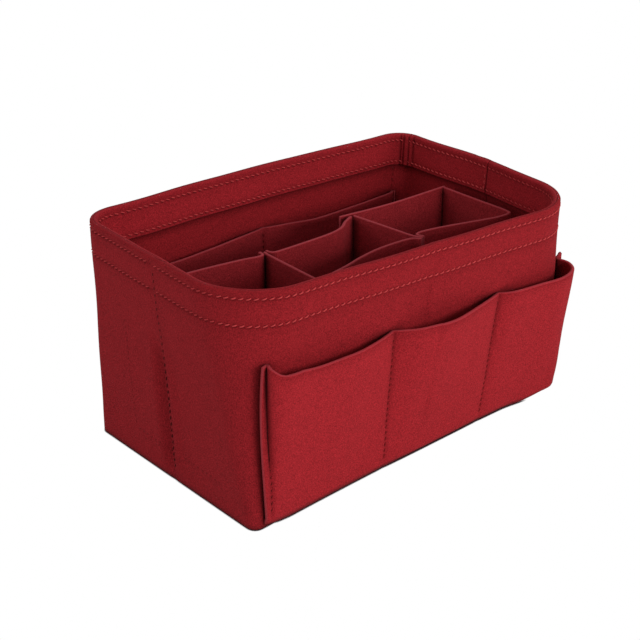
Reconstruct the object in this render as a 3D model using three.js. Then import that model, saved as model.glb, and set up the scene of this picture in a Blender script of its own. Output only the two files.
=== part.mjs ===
// Felt purse organizer insert: a soft open tub with pockets outside and inside, and a divider that lifts out.
// Millimetres, +Z up. X runs along the length, the pocketed front faces -Y, z = 0 is the base's underside.
import * as THREE from 'three';

const { clamp, euclideanModulo, lerp, smoothstep } = THREE.MathUtils;

// Felt sheet and the small gap between sewn layers
const FELT = 2.5;
const GAP = 0.3;
const LAYER = FELT + GAP;
const FELT_RED = 0xa0242c;
const FELT_RED_INSIDE = 0x8a1c24;

// Shell: nearly square corners at the base, wide round corners at the rim
const LENGTH = 280;
const WIDTH = 169;
const HEIGHT = 156.5;
const BASE_RADIUS = 6;
const FRONT_BOW = 2.5;
const FRONT_HALF = 134;

// Corners from the front right, counterclockwise: flare is how far the rim leans out from the base
const CORNERS = [
  { side: [1, -1], flare: [-4, -27.5], rimRadius: 45 },
  { side: [1, 1], flare: [10, -2.4], rimRadius: 20 },
  { side: [-1, 1], flare: [2, 12], rimRadius: 25 },
  { side: [-1, -1], flare: [-8, 2], rimRadius: 49 },
];

// Soft bulges of the right end and the back, between two places along the wall, with their size at the rim
const BULGES = [
  { from: 143, to: 300, out: 3.8 },
  { from: 310, to: 578, out: 3.8 },
];

// Places along the wall are measured at the base from the front middle, positive to the right
const STATION_STEP = 6;
const WALL_ROWS = 6;
const FRONT_WALL_LEFT = -219;
const FRONT_WALL_RIGHT = 225;
const LAP = 12;
const LAP_EASE = [8, 20];
const HEM_CORNER = 12;
const HEM_STEPS = [2, 5];

// Facing band inside the rim
const BAND_FOOT = 131.5;
const BAND_END_GAP = 1;

// Front pockets: mouth height, and stand-off from the wall as [place along it, at the mouth, at the foot]
const MOUTH_HEIGHT = 105;
const STRIP_FOOT = 0.5;
const STRIP_ROWS = 5;
const POCKET_STEPS = 14;
const FRONT_POCKETS = [
  [[-125.7, 0, 0], [-119, 5.5, 0], [-98, 10, 0], [-70, 9.5, 0.2], [-50, 6, 0.5], [-30.5, 0, 0.7]],
  [[-30.5, 0, 0.7], [-11, 10.5, 1.8], [9, 13, 2.2], [35, 8.5, 2.2], [61.5, 0, 1.4]],
  [[61.5, 0, 1.4], [72, 5.5, 1.6], [96, 8, 1.8], [122, 11.2, 4], [132, 8, 6], [138, 0, 0]],
];
const FRONT_FLANGES = { left: [-131.2, 5, 2], right: [143.5, 6, 3] };
const LEFT_EAR = { from: -110, to: -131, rise: 7 };
const RIGHT_EAR = { from: 134, to: 143.5, rise: 2 };
const LEFT_HEM = { from: -118, to: -131, rise: 8.5 };
const RIGHT_HEM = { from: 100, to: 138, rise: 7 };

// Inner pockets on the back wall, in the same terms
const INNER_MOUTH_HEIGHT = 110;
const INNER_FOOT = 3.5;
const INNER_POCKETS = [
  [
    [310.5, 0, 0], [318, 3.5, 0], [334, 6, 0], [350, 8, 0], [372, 9.7, 0], [395, 11, 0], [418, 6.3, 0],
    [439, 0, 0],
  ],
  [[439, 0, 0], [462, 4, 0], [490, 8, 0], [518, 9, 0], [546, 6, 0], [569, 0, 0]],
];
const INNER_FLANGES = { left: [307.5, 1.5, 0.8], right: [574.5, 3, 1.5] };

// Divider: felt strips on edge, with seam tabs that turn outward where a partition is sewn in
const DIVIDER_FOOT = LAYER;
const DIVIDER_TOP = 130;
const DIVIDER_STEPS = 26;
const DIVIDER_PIECES = {
  divider_back_left: [
    [-130, -43], [-130.5, -15], [-130, 14], [-126, 20.5], [-103, 20], [-68, 14], [-55, 10.5], [-50.8, 11.5],
    [-50, 16],
  ],
  divider_back_middle: [
    [-44.2, 15], [-43.4, 10.5], [-38, 8.6], [-16, 8], [6, 8.2], [20, 11], [30, 17.5], [39.6, 22],
  ],
  divider_back_right: [[33, 26.8], [44, 25.4], [60, 23], [84, 20.8], [108, 20.2], [134, 20]],
  divider_front_left: [[-129, -46.5], [-104, -48], [-78, -47], [-58, -44.5], [-54.2, -45.5], [-53.6, -50]],
  divider_front_middle: [
    [-47.8, -50], [-47.2, -45.5], [-43, -43.5], [-23, -40], [-6, -36], [12, -33.4], [30, -33.6], [41, -35],
    [44, -37], [46.6, -41],
  ],
  divider_front_right: [
    [132, 17], [131, -15], [130.3, -44], [126.5, -49], [114, -48], [92, -41], [70, -34.2], [58, -31.6],
    [52.2, -31.7], [50.3, -34], [52.4, -38],
  ],
  partition_left: [[-47, 14], [-48, 6], [-49.2, -15], [-50.4, -40], [-50.7, -49.5]],
  partition_right: [[42.4, 22], [43.2, 10], [45, -12], [46.6, -32], [49.4, -39.4]],
};

// Outline of the shell at a height: four sides with rounded corners, from the front middle round by the right
function makeOutline(z) {
  const rise = z / HEIGHT;
  const corners = CORNERS.map(({ side, flare }) => new THREE.Vector2(
    side[0] * LENGTH / 2 + flare[0] * rise,
    side[1] * WIDTH / 2 + flare[1] * rise,
  ));
  const frontRight = corners[0];
  const frontLeft = corners[3];
  const start = frontLeft.clone().lerp(frontRight, frontLeft.x / (frontLeft.x - frontRight.x));
  const path = new THREE.Path().moveTo(start.x, start.y);
  corners.forEach((corner, k) => {
    const radius = lerp(BASE_RADIUS, CORNERS[k].rimRadius, rise);
    const back = corners[(k + 3) % 4].clone().sub(corner).normalize();
    const ahead = corners[(k + 1) % 4].clone().sub(corner).normalize();
    const half = Math.acos(back.dot(ahead)) / 2;
    const arcStart = corner.clone().addScaledVector(back, radius / Math.tan(half));
    const inward = back.clone().add(ahead).normalize();
    const centre = corner.clone().addScaledVector(inward, radius / Math.sin(half));
    const angle = Math.atan2(arcStart.y - centre.y, arcStart.x - centre.x);
    path.lineTo(arcStart.x, arcStart.y);
    path.absarc(centre.x, centre.y, radius, angle, angle + Math.PI - 2 * half, false);
  });
  return path.lineTo(start.x, start.y);
}

const outlines = new Map();

function outlineAt(z) {
  if (!outlines.has(z)) outlines.set(z, makeOutline(z));
  return outlines.get(z);
}

const PERIMETER = outlineAt(0).getLength();

function bulgeAt(along) {
  const share = ({ from, to }) => clamp((along - from) / (to - from), 0, 1);
  return BULGES.reduce((sum, bulge) => sum + bulge.out * Math.sin(Math.PI * share(bulge)) ** 2, 0);
}

// Point at a place along the wall and a height, moved inward from the outer face by inset
function wallPoint(place, z, inset) {
  const outline = outlineAt(z);
  const share = euclideanModulo(place / PERIMETER, 1);
  const point = outline.getPoint(share);
  const tangent = outline.getTangent(share);
  const along = share * outline.getLength();
  const fromFront = Math.min(along, outline.getLength() - along);
  const bow = FRONT_BOW * (1 - z / HEIGHT) * Math.max(0, 1 - (fromFront / FRONT_HALF) ** 2);
  const depth = inset + bow - bulgeAt(along) * z / HEIGHT;
  return new THREE.Vector3(point.x - tangent.y * depth, point.y + tangent.x * depth, z);
}

// Places along the wall from one end of a sheet to the other
function stations(from, to) {
  const places = [from];
  const first = Math.ceil((from + 1) / STATION_STEP) * STATION_STEP;
  for (let place = first; place < to - 1; place += STATION_STEP) places.push(place);
  return [...places, to];
}

// Felt sheet on edge: rows of centre points from foot to top, thickened to both sides in plan
function feltSheet(rows) {
  const last = rows[0].length - 1;
  const top = rows.length - 1;
  const positions = [];
  for (const row of rows) {
    row.forEach((point, i) => {
      const before = row[Math.max(i - 1, 0)];
      const after = row[Math.min(i + 1, last)];
      const side = new THREE.Vector3(after.y - before.y, before.x - after.x, 0).setLength(FELT / 2);
      positions.push(...point.clone().add(side), ...point.clone().sub(side));
    });
  }
  const right = (i, j) => 2 * (j * (last + 1) + i);
  const left = (i, j) => right(i, j) + 1;
  const triangles = [];
  const quad = (a, b, c, d) => triangles.push(a, b, c, a, c, d);
  for (let j = 0; j < top; j += 1) {
    for (let i = 0; i < last; i += 1) {
      quad(right(i, j), right(i + 1, j), right(i + 1, j + 1), right(i, j + 1));
      quad(left(i, j), left(i, j + 1), left(i + 1, j + 1), left(i + 1, j));
    }
    quad(right(0, j), right(0, j + 1), left(0, j + 1), left(0, j));
    quad(right(last, j), left(last, j), left(last, j + 1), right(last, j + 1));
  }
  for (let i = 0; i < last; i += 1) {
    quad(right(i, 0), left(i, 0), left(i + 1, 0), right(i + 1, 0));
    quad(right(i, top), right(i + 1, top), left(i + 1, top), left(i, top));
  }
  const geometry = new THREE.BufferGeometry();
  geometry.setAttribute('position', new THREE.Float32BufferAttribute(positions, 3));
  geometry.setIndex(triangles);
  geometry.computeVertexNormals();
  return geometry;
}

// Sheet that follows the wall: low and high give its edges, inset its centre's depth at a place
function wallSheet(places, rowCount, low, high, inset) {
  const rows = [];
  for (let j = 0; j <= rowCount; j += 1) {
    const share = j / rowCount;
    rows.push(places.map((place) => wallPoint(place, lerp(low(place), high(place), share), inset(place))));
  }
  return feltSheet(rows);
}

// How much deeper the inner layer lies where the wall ends lap at the middle of each end
function lapDip(place) {
  const along = euclideanModulo(place, PERIMETER);
  const rightLap = FRONT_WALL_RIGHT - LAP / 2;
  const leftLap = PERIMETER + FRONT_WALL_LEFT + LAP / 2;
  const away = Math.min(Math.abs(along - rightLap), Math.abs(along - leftLap));
  return LAYER * (1 - smoothstep(away, ...LAP_EASE));
}

function basePanel() {
  const places = stations(0, PERIMETER).slice(0, -1);
  const edge = places.map((place) => wallPoint(place, 0, LAYER + lapDip(place)));
  const shape = new THREE.Shape(edge.map((point) => new THREE.Vector2(point.x, point.y)));
  return new THREE.ExtrudeGeometry(shape, { depth: FELT, bevelEnabled: false });
}

// Front wall: its lower corners are cut round where it laps over the back wall
function frontWall() {
  const hem = (place) => {
    const fromEnd = Math.min(place - FRONT_WALL_LEFT, FRONT_WALL_RIGHT - place);
    const short = Math.max(0, HEM_CORNER - fromEnd);
    return HEM_CORNER - Math.sqrt(HEM_CORNER ** 2 - short ** 2);
  };
  const cornerPlaces = HEM_STEPS.flatMap((step) => [FRONT_WALL_LEFT + step, FRONT_WALL_RIGHT - step]);
  const places = [...stations(FRONT_WALL_LEFT, FRONT_WALL_RIGHT), ...cornerPlaces].sort((a, b) => a - b);
  return wallSheet(places, WALL_ROWS, hem, () => HEIGHT, () => FELT / 2);
}

const BACK_WALL_RIGHT = FRONT_WALL_RIGHT - LAP;
const BACK_WALL_LEFT = PERIMETER + FRONT_WALL_LEFT + LAP;
const FRONT_BAND_LEFT = BACK_WALL_LEFT - PERIMETER + BAND_END_GAP;
const FRONT_BAND_RIGHT = BACK_WALL_RIGHT - BAND_END_GAP;

function backWall() {
  const places = stations(BACK_WALL_RIGHT, BACK_WALL_LEFT);
  return wallSheet(places, WALL_ROWS, () => 0, () => HEIGHT, (place) => FELT / 2 + lapDip(place));
}

function rimBand(from, to, dip) {
  const inset = (place) => FELT / 2 + LAYER + dip(place);
  return wallSheet(stations(from, to), 1, () => BAND_FOOT, () => HEIGHT, inset);
}

// Places and stand-offs along a pocket strip, seam to seam, with the free flange at each end
function pocketProfile(pockets, flanges) {
  const profile = [new THREE.Vector3(...flanges.left)];
  for (const pocket of pockets) {
    const curve = new THREE.CatmullRomCurve3(pocket.map((point) => new THREE.Vector3(...point)));
    profile.push(...curve.getPoints(POCKET_STEPS).slice(0, -1));
  }
  const lastSeam = pockets.at(-1).at(-1);
  profile.push(new THREE.Vector3(...lastSeam), new THREE.Vector3(...flanges.right));
  return profile;
}

// Share of an edge's rise near the end of a strip
function edgeRise(place, { from, to, rise }) {
  return rise * clamp((place - from) / (to - from), 0, 1) ** 2;
}

// Pocket strip on a face of the wall: direction is 1 for a strip inside the wall, -1 for one outside it
function pocketStrip(profile, low, high, wallFace, direction) {
  const rows = [];
  for (let j = 0; j <= STRIP_ROWS; j += 1) {
    const share = j / STRIP_ROWS;
    rows.push(profile.map(({ x: place, y: atMouth, z: atFoot }) => {
      const standOff = GAP + FELT / 2 + Math.max(0, lerp(atFoot, atMouth, share));
      return wallPoint(place, lerp(low(place), high(place), share), wallFace + direction * standOff);
    }));
  }
  return feltSheet(rows);
}

function frontPocketStrip() {
  const low = (place) => STRIP_FOOT + edgeRise(place, LEFT_HEM) + edgeRise(place, RIGHT_HEM);
  const high = (place) => MOUTH_HEIGHT + edgeRise(place, LEFT_EAR) + edgeRise(place, RIGHT_EAR);
  return pocketStrip(pocketProfile(FRONT_POCKETS, FRONT_FLANGES), low, high, 0, -1);
}

function innerPocketStrip() {
  const profile = pocketProfile(INNER_POCKETS, INNER_FLANGES);
  return pocketStrip(profile, () => INNER_FOOT, () => INNER_MOUTH_HEIGHT, FELT, 1);
}

// Divider piece: an upright sheet along a smooth line in plan
function dividerPiece(line) {
  const curve = new THREE.SplineCurve(line.map((point) => new THREE.Vector2(...point)));
  const plan = curve.getPoints(DIVIDER_STEPS);
  const heights = [DIVIDER_FOOT, DIVIDER_TOP];
  return feltSheet(heights.map((z) => plan.map((point) => new THREE.Vector3(point.x, point.y, z))));
}

function feltPiece(name, geometry, color) {
  const material = new THREE.MeshStandardMaterial({ color, roughness: 0.95, metalness: 0 });
  const mesh = new THREE.Mesh(geometry, material);
  mesh.name = name;
  return mesh;
}

const shell = new THREE.Group();
shell.add(
  feltPiece('base_panel', basePanel(), FELT_RED_INSIDE),
  feltPiece('front_wall', frontWall(), FELT_RED),
  feltPiece('back_wall', backWall(), FELT_RED),
  feltPiece('rim_band_front', rimBand(FRONT_BAND_LEFT, FRONT_BAND_RIGHT, () => 0), FELT_RED),
  feltPiece('rim_band_back', rimBand(BACK_WALL_RIGHT, BACK_WALL_LEFT, lapDip), FELT_RED),
  feltPiece('front_pocket_strip', frontPocketStrip(), FELT_RED),
  feltPiece('inner_pocket_strip', innerPocketStrip(), FELT_RED_INSIDE),
);

const divider = new THREE.Group();
for (const [name, line] of Object.entries(DIVIDER_PIECES)) {
  divider.add(feltPiece(name, dividerPiece(line), FELT_RED_INSIDE));
}

const organizer = new THREE.Group();
organizer.add(shell, divider);

export default organizer;
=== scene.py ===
"""Looks of a felt purse organizer: fine felt sheets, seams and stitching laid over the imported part."""
import math
import bpy
import numpy as np
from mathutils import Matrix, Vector


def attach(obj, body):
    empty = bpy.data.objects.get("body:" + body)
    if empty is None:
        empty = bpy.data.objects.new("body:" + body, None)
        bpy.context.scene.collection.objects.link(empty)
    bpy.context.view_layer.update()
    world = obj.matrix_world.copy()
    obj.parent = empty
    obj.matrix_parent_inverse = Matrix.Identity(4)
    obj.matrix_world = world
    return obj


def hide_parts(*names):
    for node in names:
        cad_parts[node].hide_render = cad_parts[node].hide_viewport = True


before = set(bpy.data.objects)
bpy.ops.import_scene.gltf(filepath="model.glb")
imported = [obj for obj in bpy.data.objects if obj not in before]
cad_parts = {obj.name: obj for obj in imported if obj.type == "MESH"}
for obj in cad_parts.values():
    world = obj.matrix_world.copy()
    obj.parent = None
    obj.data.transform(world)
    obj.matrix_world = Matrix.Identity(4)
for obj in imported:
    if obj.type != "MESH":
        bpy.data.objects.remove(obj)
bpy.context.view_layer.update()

# Sizes are in millimetres, and turn into metres when a mesh is made
MM = 0.001
FELT = 2.5
GAP = 0.3
LAYER = FELT + GAP
CUT_EDGE = 0.5
CUT_EDGE_THINNING = 0.5

# Shell: nearly square corners at the base, wide round corners at the rim
LENGTH = 280
WIDTH = 169
HEIGHT = 156.5
BASE_RADIUS = 6
PERIMETER = 2 * (LENGTH + WIDTH) - (8 - 2 * math.pi) * BASE_RADIUS
FRONT_BOW = 2.5
FRONT_HALF = 134
CORNERS = [
    {"side": (1, -1), "flare": (-4, -27.5), "rim_radius": 45},
    {"side": (1, 1), "flare": (10, -2.4), "rim_radius": 20},
    {"side": (-1, 1), "flare": (2, 12), "rim_radius": 25},
    {"side": (-1, -1), "flare": (-8, 2), "rim_radius": 49},
]
BULGES = [(143, 300, 3.8), (310, 578, 3.8)]

# Slow waves of the felt: how far they stand out, and each ripple's length along, length up and shift
BROAD_WAVE = 0.5
BROAD_RIPPLES = ((23, 31, 0), (41, -19, 1))
FINE_WAVE = 0.3
FINE_RIPPLE = (11, -27, 2)
WAVES_GROW_TO = 40

# Places along the wall are measured at the base from the front middle, positive to the right
FRONT_WALL_LEFT = -219
FRONT_WALL_RIGHT = 225
FRONT_CORNER = -157
HEM_CORNER = 2

# Laps of the front wall over the back wall at both ends, loose between the base and the rim
LAP = 12
LAP_EASE = (8, 18)
LAP_LOOSE_FROM = (3, 20)
LAP_LOOSE_TO = (70, 112)
LAP_LIFT = 1.6
LAP_DIP = 5.2
LAP_SEAM = 1.2
SKIVED_EDGE = 0.1
EDGE_DRIFT = 5.5
EDGE_DRIFT_HEIGHT = 62
EDGE_DRIFT_SPREAD = 50
EDGE_DRIFT_END = 60
BACK_WALL_RIGHT = FRONT_WALL_RIGHT - LAP
BACK_WALL_LEFT = PERIMETER + FRONT_WALL_LEFT + LAP

# Facing bands inside the rim, gathered round the back right corner
BAND_FOOT = 131.5
BAND_END_GAP = 0.2
BAND_CLEARANCE = 0.1
BAND_LEAST = 0.4
FRONT_BAND = (BACK_WALL_LEFT - PERIMETER + BAND_END_GAP, BACK_WALL_RIGHT - BAND_END_GAP)
BACK_BAND = (BACK_WALL_RIGHT, BACK_WALL_LEFT)
PUCKERS = (290.5, 296, 302, 305)
PUCKER_WIDTH = 1
PUCKER_DEPTH = 1.1
GATHER = (288, 309)
GATHER_FULLNESS = 1.2
RIM_STITCHES = (151.5, 134.5)
RIM_ROUND = 1.8

# Pockets: stand-off from the wall as (place along the wall, at the mouth, at the foot)
MOUTH_HEIGHT = 105
STRIP_FOOT = 0.5
FRONT_PROFILE = [
    (-131.2, 4.5, 1), (-125.7, 0, 0), (-123.4, 8, 0.8), (-117, 9.5, 0.5), (-98, 10, 0), (-70, 9.5, 0.2),
    (-50, 6, 0.5), (-30.5, 0, 0.7), (-11, 10.5, 1.8), (9, 13, 2.2), (35, 8.5, 2.2), (61.5, 0, 1.4),
    (72, 5.5, 1.6), (96, 8, 1.8), (122, 11.2, 4), (132, 8, 6), (138, 0, 0), (143.5, 6, 3),
]
FRONT_SEAMS = (-125.7, -30.5, 61.5, 138)
INNER_MOUTH_HEIGHT = 110
INNER_FOOT = 3.5
INNER_PROFILE = [
    (307.5, 1.5, 0.8), (310.5, 0, 0), (314.5, 3.5, 0), (334, 6, 0), (350, 8, 0), (372, 9.7, 0),
    (395, 11, 0), (418, 6.3, 0), (439, 0, 0), (462, 4, 0), (490, 8, 0), (518, 9, 0),
    (546, 6, 0), (569, 0, 0), (574.5, 3, 1.5),
]
INNER_SEAMS = (310.5, 439, 569)
SEAM_SOFTNESS = 0.6
SEAM_DENT_SHARE = 0.5
PROFILE_STEP = 0.4
PROFILE_MARGIN = 6
SOFTENING_STEPS = 9
END_SLOPE = 1.4

# Front strip: its foot is drawn in to the wall, and its edges climb as (from, to, rise) along the wall
FOOT_TUCK = 2.5
FOOT_TUCK_END = (85, 110)
FOOT_RISES = ((-108, -131, 3), (100, 138, 7))
MOUTH_RISES = ((-86, -108, 2), (-117.5, -123, 5), (134, 143.5, 2))
FLANGE_PLACES = (-131.2, -125.7, -123.4, -117)
FLANGE_PINCH_TOP = (2.4, 0, -1.6, 0)
FLANGE_PINCH_FOOT = (-1, -2, -1.6, 0)
FLANGE_PINCH_POWER = 4

# Divider: lines in plan of felt strips on edge, with seam tabs that turn outward
DIVIDER_FOOT = LAYER
DIVIDER_TOP = 130
DIVIDER_LINES = {
    "divider_back_left": [
        (-130, -45.1), (-130.5, -15), (-130, 14), (-126, 20.5), (-103, 20), (-68, 14), (-55, 10.5),
        (-50.3, 11.5), (-49.5, 16),
    ],
    "divider_back_middle": [
        (-44.4, 15), (-43.5, 10.5), (-38, 8.6), (-16, 8), (6, 8.2), (20, 11), (30, 17.5), (39.6, 22),
    ],
    "divider_back_right": [(33, 26.8), (44, 25.4), (60, 23), (84, 20.8), (108, 20.2), (134, 20)],
    "divider_front_left": [
        (-131.2, -46.4), (-104, -48), (-78, -47), (-58, -44.5), (-53.8, -45.5), (-53.3, -50),
    ],
    "divider_front_middle": [
        (-48.15, -50), (-47.8, -46.2), (-43, -43.5), (-23, -40), (-6, -36), (12, -33.4), (30, -33.6),
        (41, -35), (44.6, -37), (47.1, -40.8),
    ],
    "divider_front_right": [
        (132, 18.6), (131, -15), (130.3, -44), (126.5, -49), (114, -48), (92, -41), (70, -34.2),
        (58, -31.6), (52.2, -31.7), (50.2, -34), (51.8, -38.4),
    ],
    "partition_left": [(-47, 14), (-48, 6), (-49.2, -15), (-50.4, -40), (-50.7, -49.5)],
    "partition_right": [(42.4, 22), (43.2, 10), (45, -12), (46.6, -32), (49.4, -39.4)],
}
DIVIDER_CORNER = (128.8, 18.6)

# Stitches, and how they sink into the felt
STITCH_PITCH = 4.6
STITCH_LENGTH = 3.2
STITCH_SLANT = 0.55
STITCH_PROUD = 0.18
STITCH_DIVE = 0.7
STITCH_DIVE_POWER = 4
STITCH_POINTS = 6
THREAD_RADIUS = 0.35
RIM_THREAD_RADIUS = 0.5
THREAD_SIDES = 6
DENT_DEPTH = 0.45
DENT_WIDTH = 1.3
THREAD_SINK = 0.6 * DENT_DEPTH
SEAM_THREAD_SINK = 0.3 * DENT_DEPTH

# Where rows of stitches stop short of an edge
RIM_ROW_MARGIN = 1
LAP_ROW_MARGIN = 8
FRONT_ROW_FOOT = 6
INNER_ROW_FOOT = 4
ROW_TOP = 2

# Sewn line that shows through the left end, and the end of the back band
END_SEAM_BACK = -259
END_SEAM_FRONT = -163
END_SEAM_FOOT = 22
END_SEAM_TOP = 104
END_SEAM_SUNK = 0.3
BAND_SEAM = 214.5
BAND_SEAM_HEIGHT = 17

# Mesh steps along each sheet and up it
WALL_STEPS = (2.2, 4)
BAND_STEPS = (1.5, 2.5)
STRIP_STEPS = (1.6, 4)
DIVIDER_STEPS = (1.2, 5)
BASE_STEPS = 240
BASE_RINGS = 24
BASE_MIDDLE = 0.001
CURVE_STEPS = 40
DENT_LINES = 4
DENT_LINE_STEP = 0.5 * DENT_WIDTH
LEAST_STEP = 0.8 * CUT_EDGE

# Felt: colour of the face and of the cut edge, and how far each piece's edge goes to the cut colour
# All one red felt: the outside copy is painted darker as shade on the front above the pockets, and the
# copy for pockets and rim bands is painted lighter
FELT_COLOURS = {
    "felt_outside": ((0.318, 0.0155, 0.0207), (0.42, 0.046, 0.057)),
    "felt_painted_lighter": ((0.398, 0.02, 0.027), (0.47, 0.055, 0.068)),
    "felt_inside": ((0.36, 0.024, 0.031), (0.47, 0.07, 0.085)),
}
EDGE_TONES = {
    "front_wall": 0.1,
    "back_wall": 0.2,
    "rim_band_front": 0.2,
    "rim_band_back": 0.2,
    "base_panel": 0,
}
CUT_EDGE_COLOUR_SHARE = 0.8

# Felt: fibres as three sizes of noise, with the weight of each in the colour
FIBRE_SCALES = {"grain": 1500, "mottle": 700, "cloud": 90}
FIBRE_WEIGHTS = {"grain": 0.75, "mottle": 0.2, "cloud": 0.05}
FIBRE_DETAIL = 2
FIBRE_ROUGHNESS = 0.7
FELT_TONES = {0.4: 0.64, 0.62: 1.34}
NAP_STRENGTH = 0.55
NAP_HEIGHT = 0.6
NAP_MOTTLE = 0.8
FELT_FINISH = {
    "Roughness": 0.95,
    "Specular IOR Level": 0.06,
    "Sheen Weight": 0.03,
    "Sheen Roughness": 0.5,
    "Sheen Tint": (1, 0.45, 0.45, 1),
}

# Felt: painted shade that darkens the colour in folds and seams
PAINTED_SHADE_REACH = 7
PAINTED_FOLD_SHADE = 1.4
PAINTED_SHADE_LIFT = 0.6
PAINTED_SHADE_SAMPLES = 8

# Thread: one red, with copies darkened as painted shade: for rows on the shaded sides, in seams, and
# darkest in the laps and the deep fold
THREAD_COLOURS = {
    "sewing_thread": (0.6, 0.06, 0.063),
    "sewing_thread_painted_shade": (0.5, 0.042, 0.046),
    "sewing_thread_painted_seam_shade": (0.25, 0.0125, 0.015),
    "sewing_thread_painted_lap_shade": (0.11, 0.0055, 0.0065),
}
TWIST_SCALE = 1500
THREAD_TONES = {0: 0.6, 1: 1.3}
THREAD_FINISH = {"Roughness": 0.8, "Specular IOR Level": 0.1}

# Studio in metres and watts: place, size and power of each light
LIGHTS = {
    "front": ((0, -1.3, 0.605), 0.4, 5.7),
    "front_right": ((0.46, -1.265, 0.465), 0.5, 3),
    "left": ((-1.2, 0.45, 0.48), 0.5, 1.95),
}
LIGHT_TARGET = (0, 0, 0.08)
WORLD_LIGHT = (0.422, 0.422, 0.425, 1)
WHITE = (1, 1, 1, 1)
FLOOR_SIZE = 4
FLOOR_DROP = 0.0004
FLOOR_FINISH = {"Base Color": (0.9, 0.9, 0.9, 1), "Roughness": 1, "Specular IOR Level": 0}
CONTACT_REACH = 0.002
CONTACT_COLOURS = {0.5: (0.03, 0.01, 0.012, 1), 0.72: WHITE}

# Camera at the photo's viewing angle, in degrees and metres, and its picture in pixels
IMAGE_SIZE = 640
CAMERA_AZIMUTH = -42.23
CAMERA_PITCH = 25.15
CAMERA_DISTANCE = 0.9118
CAMERA_TARGET = Vector((0, 0, 0.085))
FOCAL_PIXELS = 1313
CENTRE_PIXEL = (330.4, 299.2)
SENSOR = 36


def unit(v):
    """Vectors of length 1 in the same directions."""
    return v / np.linalg.norm(v, axis=-1, keepdims=True)


def ease(x, low, high):
    """Smooth step from 0 at low to 1 at high."""
    t = np.clip((x - low) / (high - low), 0, 1)
    return t * t * (3 - 2 * t)


def wall_frame(place, z):
    """Points on the wall's outer face and the inward direction there, in plan."""
    rise = (z / HEIGHT)[..., None]
    corners = [
        np.array(c["side"]) * (LENGTH / 2, WIDTH / 2) + np.array(c["flare"]) * rise for c in CORNERS
    ]
    front_right, front_left = corners[0], corners[3]
    share = front_left[..., :1] / (front_left[..., :1] - front_right[..., :1])
    start = front_left + (front_right - front_left) * share
    segments = []
    previous = start
    for k, corner in enumerate(corners):
        radius = BASE_RADIUS + (CORNERS[k]["rim_radius"] - BASE_RADIUS) * rise[..., 0]
        back = unit(corners[k - 1] - corner)
        ahead = unit(corners[(k + 1) % 4] - corner)
        half = np.arccos((back * ahead).sum(-1)) / 2
        trim = (radius / np.tan(half))[..., None]
        centre = corner + unit(back + ahead) * (radius / np.sin(half))[..., None]
        enter = corner + back * trim
        angle = np.arctan2(enter[..., 1] - centre[..., 1], enter[..., 0] - centre[..., 0])
        segments.append(("line", previous, enter, np.linalg.norm(enter - previous, axis=-1)))
        segments.append(("arc", centre, (radius, angle), radius * (np.pi - 2 * half)))
        previous = corner + ahead * trim
    segments.append(("line", previous, start, np.linalg.norm(start - previous, axis=-1)))
    run = np.mod(place / PERIMETER, 1) * sum(s[3] for s in segments)
    point = np.zeros(run.shape + (2,))
    heading = np.zeros(run.shape + (2,))
    for kind, first, second, length in segments:
        here = ((run >= 0) & (run < length))[..., None]
        if kind == "line":
            direction = unit(second - first)
            at = first + direction * run[..., None]
        else:
            radius, angle = second
            turn = angle + run / radius
            at = first + radius[..., None] * np.stack([np.cos(turn), np.sin(turn)], -1)
            direction = np.stack([-np.sin(turn), np.cos(turn)], -1)
        point = np.where(here, at, point)
        heading = np.where(here, direction, heading)
        run = np.where(run >= 0, run - length, run)
    return point, np.stack([-heading[..., 1], heading[..., 0]], -1)


def ripple(place, z, along, up, shift):
    """Wave from -1 to 1 over the wall."""
    return np.sin(place / along + z / up + shift)


def softness(place, z):
    """Slow waves of a few tenths of a millimetre that hand-sewn felt has, none at the base."""
    first, second = BROAD_RIPPLES
    waves = BROAD_WAVE * ripple(place, z, *first) * ripple(place, z, *second)
    waves += FINE_WAVE * ripple(place, z, *FINE_RIPPLE)
    return waves * ease(z, 0, WAVES_GROW_TO)


def wall_point(place, z, inset):
    """Points at a place along the wall and a height, moved inward from the outer face by inset."""
    place, z, inset = np.broadcast_arrays(*(np.asarray(v, float) for v in (place, z, inset)))
    point, inward = wall_frame(place, z)
    from_front = np.abs(np.mod(place + PERIMETER / 2, PERIMETER) - PERIMETER / 2)
    bow = FRONT_BOW * (1 - z / HEIGHT) * np.maximum(0, 1 - (from_front / FRONT_HALF) ** 2)
    along = np.mod(place, PERIMETER)
    bulge = sum(out * np.sin(np.pi * np.clip((along - a) / (b - a), 0, 1)) ** 2 for a, b, out in BULGES)
    depth = inset + bow - bulge * z / HEIGHT + softness(along, z)
    return np.concatenate([point + inward * depth[..., None], z[..., None]], -1)


def lap_reach(place):
    """Distance into a lap from the front wall's end, negative outside it. The back wall ends at LAP."""
    along = np.mod(place, PERIMETER)
    right = FRONT_WALL_RIGHT - along
    left = along - PERIMETER - FRONT_WALL_LEFT
    return np.where(along < PERIMETER / 2, right, left)


def lap_looseness(z):
    """0 where stitching presses a lap flush, at the base and near the rim, and 1 between."""
    return ease(z, *LAP_LOOSE_FROM) * (1 - ease(z, *LAP_LOOSE_TO))


def lap_lift(from_end, z):
    """How far the front wall's edge stands off in a loose lap."""
    return LAP_LIFT * lap_looseness(z) * (1 - ease(from_end, 0, LAP))


def front_share(place, z):
    """Share of the felt's thickness that the front wall keeps in a lap."""
    thinned = (1 - SKIVED_EDGE) * (1 - ease(lap_reach(place), 0, LAP))
    return 1 - thinned * (1 - lap_looseness(z))


def back_share(place, z):
    """Share of the felt's thickness that the back wall keeps in a lap."""
    return 1 - (1 - SKIVED_EDGE) * ease(lap_reach(place), 0, LAP) * (1 - lap_looseness(z))


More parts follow.
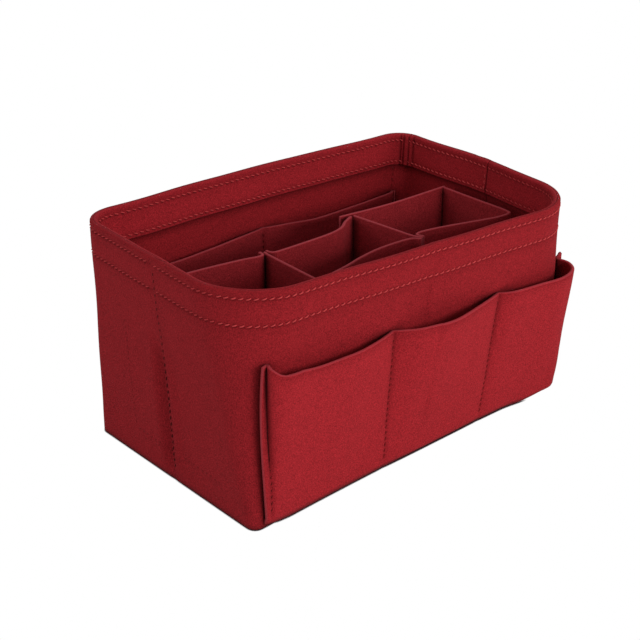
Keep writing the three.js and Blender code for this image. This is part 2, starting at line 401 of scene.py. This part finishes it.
def lap_dip(place, z):
    """How much deeper the back wall's outer face lies in a lap."""
    reach = lap_reach(place)
    loose = LAP_DIP * (1 - ease(np.abs(reach - LAP / 2), *LAP_EASE))
    edge = SKIVED_EDGE * (1 - ease(-reach, 0, LAP / 2))
    flush = FELT * (edge + (1 - SKIVED_EDGE) * ease(reach, 0, LAP))
    return flush + (loose - flush) * lap_looseness(z)


def lines(first, last, step, fine=()):
    """Grid lines from first to last, close together at the cut edges and round each fine place."""
    count = max(2, int(round((last - first) / step)))
    places = list(np.linspace(first, last, count + 1))
    places += [first + CUT_EDGE, last - CUT_EDGE]
    for f in fine:
        places += [f + k * DENT_LINE_STEP for k in range(-DENT_LINES, DENT_LINES + 1)]
    places = sorted(p for p in places if first <= p <= last)
    kept = [places[0]]
    for p in places[1:-1]:
        if p - kept[-1] >= LEAST_STEP and last - p >= LEAST_STEP:
            kept.append(p)
    return np.array(kept + [places[-1]])


def dent(x, places):
    """How deep thread pulls into the felt near the rows of stitches."""
    dents = (DENT_DEPTH * np.exp(-(((x - p) / DENT_WIDTH) ** 2)) for p in places)
    return sum(dents, np.zeros(np.shape(x)))


def rim_round(z):
    """How far a face turns in at the rim, so that wall and band end in one soft round edge."""
    over = np.clip(z - (HEIGHT - RIM_ROUND), 0, RIM_ROUND)
    return RIM_ROUND - np.sqrt(RIM_ROUND**2 - over**2)


def add_object(name, mesh, material, body):
    """New smooth object that rides on a body."""
    mesh.polygons.foreach_set("use_smooth", [True] * len(mesh.polygons))
    mesh.materials.append(material)
    obj = bpy.data.objects.new(name, mesh)
    bpy.context.scene.collection.objects.link(obj)
    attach(obj, body)
    return obj


def grid_mesh(name, right, left, edge_tone):
    """Closed sheet from its right and left faces, each a grid of points in millimetres."""
    rows, cols = right.shape[:2]
    count = rows * cols
    index = np.arange(count).reshape(rows, cols)
    a, b, c, d = index[:-1, :-1], index[:-1, 1:], index[1:, 1:], index[1:, :-1]
    faces = [np.stack([a, b, c, d], -1).reshape(-1, 4)]
    faces.append(np.stack([a, d, c, b], -1).reshape(-1, 4) + count)
    foot, top = index[0], index[-1]
    faces.append(np.stack([foot[:-1], foot[:-1] + count, foot[1:] + count, foot[1:]], -1))
    faces.append(np.stack([top[:-1], top[1:], top[1:] + count, top[:-1] + count], -1))
    first, last = index[:, 0], index[:, -1]
    faces.append(np.stack([first[:-1], first[1:], first[1:] + count, first[:-1] + count], -1))
    faces.append(np.stack([last[:-1], last[:-1] + count, last[1:] + count, last[1:]], -1))
    points = np.concatenate([right.reshape(-1, 3), left.reshape(-1, 3)]) * MM
    mesh = bpy.data.meshes.new(name)
    mesh.from_pydata(points.tolist(), [], np.concatenate(faces).tolist())
    edge = np.zeros((rows, cols))
    edge[[0, -1], :] = edge_tone
    edge[:, [0, -1]] = edge_tone
    cut = mesh.attributes.new("cut_edge", "FLOAT", "POINT")
    cut.data.foreach_set("value", np.concatenate([edge.ravel(), edge.ravel()]))
    return mesh


def felt_sheet(
    name,
    centres,
    material,
    body="shell",
    dents=(0, 0),
    pressed=1,
    top_thinning=CUT_EDGE_THINNING,
):
    """Felt through a grid of centre points, thickened both ways, in place of the CAD node of its name."""
    across = np.gradient(centres, axis=1)
    up = np.gradient(centres, axis=0)
    normal = unit(np.cross(across, up))
    half = np.full(centres.shape[:2], FELT / 2) * pressed
    half[0] *= CUT_EDGE_THINNING
    half[-1] *= top_thinning
    half[:, [0, -1]] *= CUT_EDGE_THINNING
    dent_right, dent_left = dents
    right = centres + normal * (half - dent_right)[..., None]
    left = centres - normal * (half - dent_left)[..., None]
    mesh = grid_mesh("felt_" + name, right, left, EDGE_TONES.get(name, 1))
    obj = add_object("felt_" + name, mesh, material, body)
    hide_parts(name)


def stitch_row(name, thread_at, length, material, body="shell", radius=THREAD_RADIUS):
    """Row of slanted stitches: thread_at gives points for a distance along the row, a rise and a depth."""
    starts = np.arange(STITCH_PITCH / 2, length - STITCH_LENGTH, STITCH_PITCH)
    share = np.linspace(0, 1, STITCH_POINTS)
    along = starts[:, None] + share * STITCH_LENGTH
    slant = np.broadcast_to((2 * share - 1) * STITCH_SLANT, along.shape)
    depth = np.broadcast_to(STITCH_DIVE * (2 * share - 1) ** STITCH_DIVE_POWER - STITCH_PROUD, along.shape)
    centre = thread_at(along, slant, depth)
    outward = unit(thread_at(along, slant, depth - 1) - centre)
    heading = unit(np.gradient(centre, axis=1))
    side = np.cross(heading, outward)
    angles = np.linspace(0, 2 * np.pi, THREAD_SIDES, endpoint=False)
    ring = np.cos(angles)[:, None] * side[:, :, None] + np.sin(angles)[:, None] * outward[:, :, None]
    points = centre[:, :, None] + ring * radius
    index = np.arange(points[..., 0].size).reshape(points.shape[:3])
    a, b = index[:, :-1], index[:, 1:]
    quads = np.stack([a, np.roll(a, -1, 2), np.roll(b, -1, 2), b], -1).reshape(-1, 4)
    caps = np.concatenate([index[:, 0, ::-1], index[:, -1]])
    mesh = bpy.data.meshes.new(name)
    mesh.from_pydata((points.reshape(-1, 3) * MM).tolist(), [], quads.tolist() + caps.tolist())
    add_object(name, mesh, material, body)


def new_material(name, finish):
    """Material with a finish set on its shader, and the means to add nodes to it."""
    material = bpy.data.materials.new(name)
    material.use_nodes = True
    nodes = material.node_tree.nodes
    shader = nodes["Principled BSDF"]
    for socket, value in finish.items():
        shader.inputs[socket].default_value = value
    return material, nodes, material.node_tree.links.new, shader


def arithmetic(nodes, link, operation, first, second):
    """Result of an operation on two values, each a number or another node's output."""
    node = nodes.new("ShaderNodeMath")
    node.operation = operation
    for socket, value in zip(node.inputs, (first, second)):
        if isinstance(value, (int, float)):
            socket.default_value = value
        else:
            link(value, socket)
    return node.outputs[0]


def ramp(nodes, link, value, stops):
    """Colour that goes from the first stop to the second as the value rises."""
    node = nodes.new("ShaderNodeValToRGB")
    for element, (position, colour) in zip(node.color_ramp.elements, stops.items()):
        element.position = position
        element.color = colour
    link(value, node.inputs["Fac"])
    return node.outputs["Color"]


def shades(colour, tones):
    """Stops of a ramp through darker and lighter shades of a colour."""
    return {position: (*[min(1, tone * c) for c in colour], 1) for position, tone in tones.items()}


def fibre_noise(nodes, link):
    """Noise of each size that felt's fibres show."""
    where = nodes.new("ShaderNodeTexCoord").outputs["Object"]
    found = {}
    for size, scale in FIBRE_SCALES.items():
        texture = nodes.new("ShaderNodeTexNoise")
        texture.inputs["Scale"].default_value = scale
        texture.inputs["Detail"].default_value = FIBRE_DETAIL
        texture.inputs["Roughness"].default_value = FIBRE_ROUGHNESS
        link(where, texture.inputs["Vector"])
        found[size] = texture.outputs["Fac"]
    return found


def painted_fold_shade(nodes, link):
    """Painted shade: 1 on open felt and less in folds and seams. The lifted normal leaves the floor below
    out.
    """
    lifted = nodes.new("ShaderNodeVectorMath")
    lifted.inputs[1].default_value = (0, 0, PAINTED_SHADE_LIFT)
    link(nodes.new("ShaderNodeNewGeometry").outputs["Normal"], lifted.inputs[0])
    upright = nodes.new("ShaderNodeVectorMath")
    upright.operation = "NORMALIZE"
    link(lifted.outputs[0], upright.inputs[0])
    fold = nodes.new("ShaderNodeAmbientOcclusion")
    fold.samples = PAINTED_SHADE_SAMPLES
    fold.inputs["Distance"].default_value = PAINTED_SHADE_REACH * MM
    link(upright.outputs[0], fold.inputs["Normal"])
    return arithmetic(nodes, link, "POWER", fold.outputs["AO"], PAINTED_FOLD_SHADE)


def felt_material(name, colour, cut_colour):
    """Pressed felt: mottled fibres, a fine nap, paler cut edges and painted shade in folds."""
    material, nodes, link, shader = new_material(name, FELT_FINISH)
    fibres = fibre_noise(nodes, link)
    parts = [arithmetic(nodes, link, "MULTIPLY", fibres[k], FIBRE_WEIGHTS[k]) for k in fibres]
    fine_tone = arithmetic(nodes, link, "ADD", parts[0], parts[1])
    tone = arithmetic(nodes, link, "ADD", fine_tone, parts[2])
    cut = nodes.new("ShaderNodeAttribute")
    cut.attribute_name = "cut_edge"
    edged = nodes.new("ShaderNodeMix")
    edged.data_type = "RGBA"
    edged.inputs["B"].default_value = (*cut_colour, 1)
    cut_share = arithmetic(nodes, link, "MULTIPLY", cut.outputs["Fac"], CUT_EDGE_COLOUR_SHARE)
    link(cut_share, edged.inputs["Factor"])
    link(ramp(nodes, link, tone, shades(colour, FELT_TONES)), edged.inputs["A"])
    # Painted shade: the felt colour is multiplied darker in folds and seams
    painted_shaded = nodes.new("ShaderNodeMix")
    painted_shaded.data_type = "RGBA"
    painted_shaded.blend_type = "MULTIPLY"
    painted_shaded.inputs["Factor"].default_value = 1
    link(edged.outputs["Result"], painted_shaded.inputs["A"])
    link(painted_fold_shade(nodes, link), painted_shaded.inputs["B"])
    link(painted_shaded.outputs["Result"], shader.inputs["Base Color"])
    nap = nodes.new("ShaderNodeBump")
    nap.inputs["Strength"].default_value = NAP_STRENGTH
    nap.inputs["Distance"].default_value = NAP_HEIGHT * MM
    tufts = arithmetic(nodes, link, "MULTIPLY", fibres["mottle"], NAP_MOTTLE)
    link(arithmetic(nodes, link, "ADD", fibres["grain"], tufts), nap.inputs["Height"])
    link(nap.outputs["Normal"], shader.inputs["Normal"])
    return material


def thread_material(name, colour):
    """Twisted sewing thread with a soft shine."""
    material, nodes, link, shader = new_material(name, THREAD_FINISH)
    twist = nodes.new("ShaderNodeTexNoise")
    twist.inputs["Scale"].default_value = TWIST_SCALE
    link(nodes.new("ShaderNodeTexCoord").outputs["Object"], twist.inputs["Vector"])
    twisted = ramp(nodes, link, twist.outputs["Fac"], shades(colour, THREAD_TONES))
    link(twisted, shader.inputs["Base Color"])
    return material


FELT_OUTSIDE_PAINTED_DARKER, FELT_PAINTED_LIGHTER, FELT_INSIDE = (felt_material(k, *v) for k, v in FELT_COLOURS.items())
THREAD, PAINTED_SHADE_THREAD, SEAM_SHADE_THREAD, LAP_SHADE_THREAD = (thread_material(k, v) for k, v in THREAD_COLOURS.items())


def base_panel():
    """Felt floor as rings from the middle out to the wall."""
    place = np.linspace(0, PERIMETER, BASE_STEPS + 1)
    edge = wall_point(place, 0, LAYER)
    inner = np.linspace(BASE_MIDDLE, 1 - CUT_EDGE / (LENGTH / 2), BASE_RINGS)
    rings = [edge * [share, share, 1] + [0, 0, FELT / 2] for share in (*inner, 1)]
    centres = np.array(rings)[:, ::-1]
    felt_sheet("base_panel", centres, FELT_INSIDE)


def edge_drift(place, z):
    """The lap edge of the front wall on the left end wanders forward at mid height."""
    drift = EDGE_DRIFT * np.exp(-(((z - EDGE_DRIFT_HEIGHT) / EDGE_DRIFT_SPREAD) ** 2))
    return drift * (1 - ease(place, FRONT_WALL_LEFT, FRONT_WALL_LEFT + EDGE_DRIFT_END))


def wall_heights():
    """Heights of both walls' grid lines."""
    return lines(0, HEIGHT, WALL_STEPS[1], (*RIM_STITCHES, HEIGHT - DENT_WIDTH))


def front_wall():
    """Front sheet with rounded lower corners, lapped over the back sheet at both ends."""
    seams = (FRONT_WALL_LEFT + LAP_SEAM, FRONT_WALL_RIGHT - LAP_SEAM)
    places = lines(FRONT_WALL_LEFT, FRONT_WALL_RIGHT, WALL_STEPS[0], seams)
    place, rise = np.meshgrid(places, wall_heights() / HEIGHT)
    from_end = np.minimum(place - FRONT_WALL_LEFT, FRONT_WALL_RIGHT - place)
    short = np.maximum(0, HEM_CORNER - from_end)
    hem = HEM_CORNER - np.sqrt(HEM_CORNER**2 - short**2)
    z = hem + (HEIGHT - hem) * rise
    kept = front_share(place, z)
    inset = FELT / 2 * kept + rim_round(z) * (1 - kept) - lap_lift(from_end, z)
    centres = wall_point(place + edge_drift(place, z), z, inset)
    dents = (dent(z, RIM_STITCHES) + dent(from_end, [LAP_SEAM]) + rim_round(z)) * kept
    # The outside felt is painted darker, as shade
    felt_sheet("front_wall", centres, FELT_OUTSIDE_PAINTED_DARKER, dents=(dents, 0), pressed=kept, top_thinning=1)


def back_wall():
    """Back sheet, which dips under the front sheet in the laps."""
    places = lines(BACK_WALL_RIGHT, BACK_WALL_LEFT, WALL_STEPS[0])
    place, z = np.meshgrid(places, wall_heights())
    kept = back_share(place, z)
    centres = wall_point(place, z, FELT / 2 * kept + lap_dip(place, z))
    dents = (dent(z, RIM_STITCHES) + rim_round(z)) * (1 - ease(lap_reach(place), 0, LAP))
    # The outside felt is painted darker, as shade
    felt_sheet("back_wall", centres, FELT_OUTSIDE_PAINTED_DARKER, dents=(dents, 0), pressed=kept, top_thinning=1)


def front_band_face(place, z):
    """Depth of the front band's outer face."""
    return LAYER + 0 * place


def back_band_face(place, z):
    """Depth of the back band's outer face, which follows the back wall through the laps."""
    return lap_dip(place, z) + FELT * back_share(place, z) + GAP


def pucker(place):
    """Folds and fullness of the band where it is gathered round the back right corner."""
    folds = PUCKER_DEPTH * sum(np.exp(-(((place - p) / PUCKER_WIDTH) ** 2)) for p in PUCKERS)
    first, last = GATHER
    return folds - GATHER_FULLNESS * np.sin(np.pi * np.clip((place - first) / (last - first), 0, 1)) ** 2


def rim_band(name, first, last, face):
    """Facing strip inside the rim."""
    places = lines(first, last, BAND_STEPS[0], [p for p in PUCKERS if first < p < last])
    heights = lines(BAND_FOOT, HEIGHT, BAND_STEPS[1], (*RIM_STITCHES, HEIGHT - DENT_WIDTH))
    place, z = np.meshgrid(places, heights)
    centres = wall_point(place, z, face(place, z) + FELT / 2)
    dents = np.minimum(dent(z, RIM_STITCHES) + pucker(place) + rim_round(z), FELT - BAND_LEAST)
    # The rim bands take the felt copy painted lighter
    felt_sheet(name, centres, FELT_PAINTED_LIGHTER, dents=(BAND_CLEARANCE - GAP, dents), top_thinning=1)


def smooth_through(x, y, at):
    """Cubic through the points that doesn't overshoot them."""
    slope = np.diff(y) / np.diff(x)
    tangent = np.concatenate([[slope[0]], np.zeros(len(x) - 2), [slope[-1]]])
    for k in range(1, len(x) - 1):
        if slope[k - 1] * slope[k] > 0:
            tangent[k] = 2 * slope[k - 1] * slope[k] / (slope[k - 1] + slope[k])
    tangent[[0, -1]] *= END_SLOPE
    k = np.clip(np.searchsorted(x, at) - 1, 0, len(x) - 2)
    width = x[k + 1] - x[k]
    t = (at - x[k]) / width
    rest = 1 - t
    ends = y[k] * rest**2 * (1 + 2 * t) + y[k + 1] * t**2 * (3 - 2 * t)
    return ends + width * t * rest * (tangent[k] * rest - tangent[k + 1] * t)


def stand_off(profile, seams, places, share):
    """Pocket cloth's distance from the wall: smooth between seams, with a soft fold at each seam."""
    knots = np.array(profile, float)
    fine = np.arange(knots[0, 0] - PROFILE_MARGIN, knots[-1, 0] + PROFILE_MARGIN, PROFILE_STEP)
    stops = [knots[0, 0], *seams, knots[-1, 0]]
    reach = np.arange(-SOFTENING_STEPS, SOFTENING_STEPS + 1) * PROFILE_STEP
    kernel = np.exp(-0.5 * (reach / SEAM_SOFTNESS) ** 2)
    curves = []
    for column in (1, 2):
        curve = np.interp(fine, knots[:, 0], knots[:, column])
        for first, last in zip(stops, stops[1:]):
            inside = (knots[:, 0] >= first) & (knots[:, 0] <= last)
            here = (fine >= first) & (fine <= last)
            if inside.sum() > 2:
                curve[here] = smooth_through(knots[inside, 0], knots[inside, column], fine[here])
        padded = np.pad(curve, SOFTENING_STEPS, mode="edge")
        curves.append(np.interp(places, fine, np.convolve(padded, kernel / kernel.sum(), mode="valid")))
    mouth, foot = curves
    return foot + (mouth - foot) * share


def climb(place, rises):
    """How far an edge has climbed at a place along the wall."""
    return sum(rise * np.clip((place - first) / (last - first), 0, 1) ** 2 for first, last, rise in rises)


def front_strip_point(place, share, lift):
    """Point on the front strip at a share of its height, lifted off its middle."""
    low = STRIP_FOOT + climb(place, FOOT_RISES)
    high = MOUTH_HEIGHT + climb(place, MOUTH_RISES)
    away = GAP + FELT / 2 + stand_off(FRONT_PROFILE, FRONT_SEAMS, place, share)
    tucked = (1 - ease(share * MOUTH_HEIGHT, 0, FOOT_TUCK)) * (1 - ease(place, *FOOT_TUCK_END))
    away = away + (FELT / 2 * CUT_EDGE_THINNING - away) * tucked
    top = np.interp(place, FLANGE_PLACES, FLANGE_PINCH_TOP)
    foot = np.interp(place, FLANGE_PLACES, FLANGE_PINCH_FOOT)
    pinch = foot + (top - foot) * share**FLANGE_PINCH_POWER
    return wall_point(place + pinch, low + (high - low) * share, -(away + lift))


def inner_strip_point(place, share, lift):
    """Point on the inner strip at a share of its height, lifted off its middle."""
    away = GAP + FELT / 2 + stand_off(INNER_PROFILE, INNER_SEAMS, place, share)
    z = INNER_FOOT + (INNER_MOUTH_HEIGHT - INNER_FOOT) * share
    return wall_point(place, z, FELT + away + lift)


def strip_grid(point, profile, seams, height):
    """Centre points of a pocket strip, and how far its seams are pulled in."""
    places = lines(profile[0][0], profile[-1][0], STRIP_STEPS[0], seams)
    shares = lines(0, height, STRIP_STEPS[1]) / height
    place, share = np.meshgrid(places, shares)
    return point(place, share, 0), dent(place, seams[1:-1]) * SEAM_DENT_SHARE


def front_pocket_strip():
    """Three open pockets sewn on the front."""
    centres, pulled = strip_grid(front_strip_point, FRONT_PROFILE, FRONT_SEAMS, MOUTH_HEIGHT)
    # The pockets take the felt copy painted lighter
    felt_sheet("front_pocket_strip", centres, FELT_PAINTED_LIGHTER, dents=(pulled, 0))


def inner_pocket_strip():
    """Two open pockets sewn inside the back."""
    centres, pulled = strip_grid(inner_strip_point, INNER_PROFILE, INNER_SEAMS, INNER_MOUTH_HEIGHT)
    felt_sheet("inner_pocket_strip", centres, FELT_INSIDE, dents=(0, pulled))


def plan_curve(points, step):
    """Smooth line through points in plan, as evenly spaced points."""
    p = np.array(points, float)
    before = np.vstack([p[:1], p[:-1]])
    after = np.vstack([p[1:], p[-1:]])
    tangent = (after - before) / 2
    t = np.linspace(0, 1, CURVE_STEPS + 1)[:, None]
    rest = 1 - t
    spans = []
    for k in range(len(p) - 1):
        span = p[k] * rest**2 * (1 + 2 * t) + p[k + 1] * t**2 * (3 - 2 * t)
        spans.append((span + t * rest * (tangent[k] * rest - tangent[k + 1] * t))[:-1])
    line = np.vstack([*spans, p[-1:]])
    run = np.concatenate([[0], np.cumsum(np.linalg.norm(np.diff(line, axis=0), axis=1))])
    places = lines(0, run[-1], step)
    return np.stack([np.interp(places, run, line[:, k]) for k in (0, 1)], -1)


def divider_piece(name, points):
    """Strip of felt on edge along a line in plan."""
    plan = plan_curve(points, DIVIDER_STEPS[0])
    heights = lines(DIVIDER_FOOT, DIVIDER_TOP, DIVIDER_STEPS[1])
    plan_grid = np.broadcast_to(plan, (len(heights), len(plan), 2))
    z = np.broadcast_to(heights[:, None, None], plan_grid.shape[:2] + (1,))
    felt_sheet(name, np.concatenate([plan_grid, z], -1), FELT_INSIDE, body="divider")


def wall_face(place, z):
    """Depth of the front wall's outer face."""
    return 0 * place


def front_band_inside(place, z):
    """Depth of the front band's inner face."""
    return front_band_face(place, z) + FELT


def back_band_inside(place, z):
    """Depth of the back band's inner face."""
    return back_band_face(place, z) + FELT


def rim_row(name, first, last, height, face, sign, material):
    """Row along the rim on a face: sign is 1 on an outer face and -1 on an inner one."""
    def thread_at(along, rise, depth):
        place = first + along
        z = height + rise
        return wall_point(place, z, face(place, z) + sign * (depth + THREAD_SINK))
    stitch_row(name, thread_at, last - first, material, radius=RIM_THREAD_RADIUS)


def rim_stitches():
    """Two rows right round the rim, outside on the walls and inside on the bands."""
    left_end = FRONT_WALL_LEFT + RIM_ROW_MARGIN
    right_end = FRONT_WALL_RIGHT - RIM_ROW_MARGIN
    back_wall_run = (FRONT_WALL_RIGHT + RIM_ROW_MARGIN, PERIMETER + FRONT_WALL_LEFT - RIM_ROW_MARGIN)
    # Rows on the shaded sides take the thread painted darker as shade
    runs = {
        "left_outside": (left_end, FRONT_CORNER, wall_face, 1, PAINTED_SHADE_THREAD),
        "front_outside": (FRONT_CORNER, right_end, wall_face, 1, THREAD),
        "back_outside": (*back_wall_run, lap_dip, 1, PAINTED_SHADE_THREAD),
        "front_inside": (*FRONT_BAND, front_band_inside, -1, PAINTED_SHADE_THREAD),
        "back_inside": (*BACK_BAND, back_band_inside, -1, THREAD),
    }
    for run, (first, last, face, sign, thread) in runs.items():
        for row, height in zip(("upper", "lower"), RIM_STITCHES):
            rim_row(f"stitches_{run}_{row}", first, last, height, face, sign, thread)


def lap_row(side, place):
    """Upright row beside the front wall's lap edge."""
    def thread_at(along, rise, depth):
        z = LAP_ROW_MARGIN + along
        across = place + rise + edge_drift(place, z)
        return wall_point(across, z, depth + THREAD_SINK - lap_lift(LAP_SEAM, z))
    # The lap's thread is painted near black as the shadowed line of the lap
    stitch_row(f"stitches_lap_{side}", thread_at, HEIGHT - 2 * LAP_ROW_MARGIN, LAP_SHADE_THREAD)


def strip_row(name, point, seam, height, foot, material):
    """Upright row in a pocket seam."""
    def thread_at(along, rise, depth):
        return point(seam + rise, (foot + along) / height, FELT / 2 - depth - SEAM_THREAD_SINK)
    stitch_row(name, thread_at, height - foot - ROW_TOP, material)


def pocket_stitches():
    """Rows in the seams of both pocket strips. The front strip's left end seam lies in a deep fold, so its
    thread takes the darkest painted shade.
    """
    for k, seam in enumerate(FRONT_SEAMS):
        name = f"stitches_front_seam_{k + 1}"
        # Seam threads are darkened as painted shade, the left end's darkest
        thread = LAP_SHADE_THREAD if k == 0 else SEAM_SHADE_THREAD
        strip_row(name, front_strip_point, seam, MOUTH_HEIGHT, FRONT_ROW_FOOT, thread)
    for k, seam in enumerate(INNER_SEAMS):
        name = f"stitches_inner_seam_{k + 1}"
        strip_row(name, inner_strip_point, seam, INNER_MOUTH_HEIGHT, INNER_ROW_FOOT, SEAM_SHADE_THREAD)


def inner_seam_top():
    """The inner strip's right end seam runs on up the wall to the band."""
    def thread_at(along, rise, depth):
        return wall_point(INNER_SEAMS[0] + rise, INNER_MOUTH_HEIGHT + along, FELT - depth)
    stitch_row("stitches_inner_seam_top", thread_at, BAND_FOOT - INNER_MOUTH_HEIGHT, SEAM_SHADE_THREAD)


def left_end_stitches():
    """Sewn line that shows through the left end: up the back wall, and along the foot over the lap."""
    def upright(along, rise, depth):
        return wall_point(END_SEAM_BACK + rise, END_SEAM_FOOT + along, depth + END_SEAM_SUNK)
    stitch_row("stitches_left_end_upright", upright, END_SEAM_TOP - END_SEAM_FOOT, SEAM_SHADE_THREAD)

    def along_foot(along, rise, depth):
        place = np.mod(END_SEAM_BACK + along, PERIMETER)
        z = END_SEAM_FOOT + rise
        on_back = place < PERIMETER + FRONT_WALL_LEFT
        face = np.where(on_back, lap_dip(place, z), -lap_lift(lap_reach(place), z))
        return wall_point(place, z, depth + face + END_SEAM_SUNK)
    stitch_row("stitches_left_end_foot", along_foot, END_SEAM_FRONT - END_SEAM_BACK, SEAM_SHADE_THREAD)


def band_end_stitches():
    """Upright row at the back band's end inside the right end."""
    def thread_at(along, rise, depth):
        place = BAND_SEAM + rise
        z = BAND_FOOT + along
        return wall_point(place, z, back_band_inside(place, z) - depth)
    stitch_row("stitches_band_end", thread_at, BAND_SEAM_HEIGHT, THREAD)


def divider_corner_stitches():
    """Upright row in the divider's back right corner."""
    def thread_at(along, rise, depth):
        x, y = DIVIDER_CORNER
        return np.stack([x + rise, y + depth, DIVIDER_FOOT + INNER_ROW_FOOT + along], -1)
    length = DIVIDER_TOP - DIVIDER_FOOT - INNER_ROW_FOOT - ROW_TOP
    stitch_row("stitches_divider_corner", thread_at, length, SEAM_SHADE_THREAD, body="divider")


def seen_directly(nodes, link):
    """1 for what is seen straight on, in a gloss or through something clear, and 0 for other light."""
    path = nodes.new("ShaderNodeLightPath")
    seen = path.outputs["Is Camera Ray"]
    for ray in ("Is Glossy Ray", "Is Transmission Ray"):
        seen = arithmetic(nodes, link, "MAXIMUM", seen, path.outputs[ray])
    return seen


def make_world():
    """White to the eye, and an even soft light on the object."""
    world = bpy.data.worlds.new("studio")
    bpy.context.scene.world = world
    world.use_nodes = True
    nodes = world.node_tree.nodes
    link = world.node_tree.links.new
    mix = nodes.new("ShaderNodeMix")
    mix.data_type = "RGBA"
    mix.inputs["A"].default_value = WORLD_LIGHT
    mix.inputs["B"].default_value = WHITE
    link(seen_directly(nodes, link), mix.inputs["Factor"])
    link(mix.outputs["Result"], nodes["Background"].inputs["Color"])


def floor_material():
    """Shows as white up to a thin contact shadow, and throws soft light back up."""
    material, nodes, link, shader = new_material("pale_floor", FLOOR_FINISH)
    contact = nodes.new("ShaderNodeAmbientOcclusion")
    contact.inputs["Distance"].default_value = CONTACT_REACH
    white = nodes.new("ShaderNodeEmission")
    link(ramp(nodes, link, contact.outputs["AO"], CONTACT_COLOURS), white.inputs["Color"])
    mix = nodes.new("ShaderNodeMixShader")
    link(seen_directly(nodes, link), mix.inputs[0])
    link(shader.outputs[0], mix.inputs[1])
    link(white.outputs[0], mix.inputs[2])
    link(mix.outputs[0], nodes["Material Output"].inputs["Surface"])
    return material


def make_floor():
    """Plain square floor just below the base."""
    mesh = bpy.data.meshes.new("floor")
    corners = [(-1, -1), (1, -1), (1, 1), (-1, 1)]
    mesh.from_pydata([(x * FLOOR_SIZE, y * FLOOR_SIZE, 0) for x, y in corners], [], [(0, 1, 2, 3)])
    mesh.materials.append(floor_material())
    floor = bpy.data.objects.new("floor", mesh)
    floor.location.z = -FLOOR_DROP
    bpy.context.scene.collection.objects.link(floor)


def area_light(name, location, size, power):
    """Round soft light that points at the object."""
    data = bpy.data.lights.new(name, "AREA")
    data.shape = "DISK"
    data.size = size
    data.energy = power
    light = bpy.data.objects.new(name, data)
    light.location = location
    light.rotation_euler = (Vector(LIGHT_TARGET) - Vector(location)).to_track_quat("-Z", "Y").to_euler()
    bpy.context.scene.collection.objects.link(light)


def make_camera():
    """Camera that looks at the organizer from its front left, a little above."""
    azimuth, pitch = math.radians(CAMERA_AZIMUTH), math.radians(CAMERA_PITCH)
    level = math.cos(pitch)
    back = Vector((math.sin(azimuth) * level, -math.cos(azimuth) * level, math.sin(pitch)))
    data = bpy.data.cameras.new("camera")
    data.sensor_width = SENSOR
    data.lens = SENSOR * FOCAL_PIXELS / IMAGE_SIZE
    data.shift_x = (IMAGE_SIZE / 2 - CENTRE_PIXEL[0]) / IMAGE_SIZE
    data.shift_y = (CENTRE_PIXEL[1] - IMAGE_SIZE / 2) / IMAGE_SIZE
    camera = bpy.data.objects.new("camera", data)
    camera.location = CAMERA_TARGET + back * CAMERA_DISTANCE
    camera.rotation_euler = (-back).to_track_quat("-Z", "Y").to_euler()
    bpy.context.scene.collection.objects.link(camera)
    bpy.context.scene.camera = camera


# Shell
base_panel()
front_wall()
back_wall()
rim_band("rim_band_front", *FRONT_BAND, front_band_face)
rim_band("rim_band_back", *BACK_BAND, back_band_face)
front_pocket_strip()
inner_pocket_strip()

# Divider
for piece_name, plan_points in DIVIDER_LINES.items():
    divider_piece(piece_name, plan_points)

# Stitches
rim_stitches()
lap_row("left", FRONT_WALL_LEFT + LAP_SEAM)
lap_row("right", FRONT_WALL_RIGHT - LAP_SEAM)
pocket_stitches()
inner_seam_top()
left_end_stitches()
band_end_stitches()
divider_corner_stitches()

# Studio
make_world()
make_floor()
for light_name, light_values in LIGHTS.items():
    area_light(light_name, *light_values)
make_camera()
bpy.context.scene.view_settings.view_transform = "Standard"
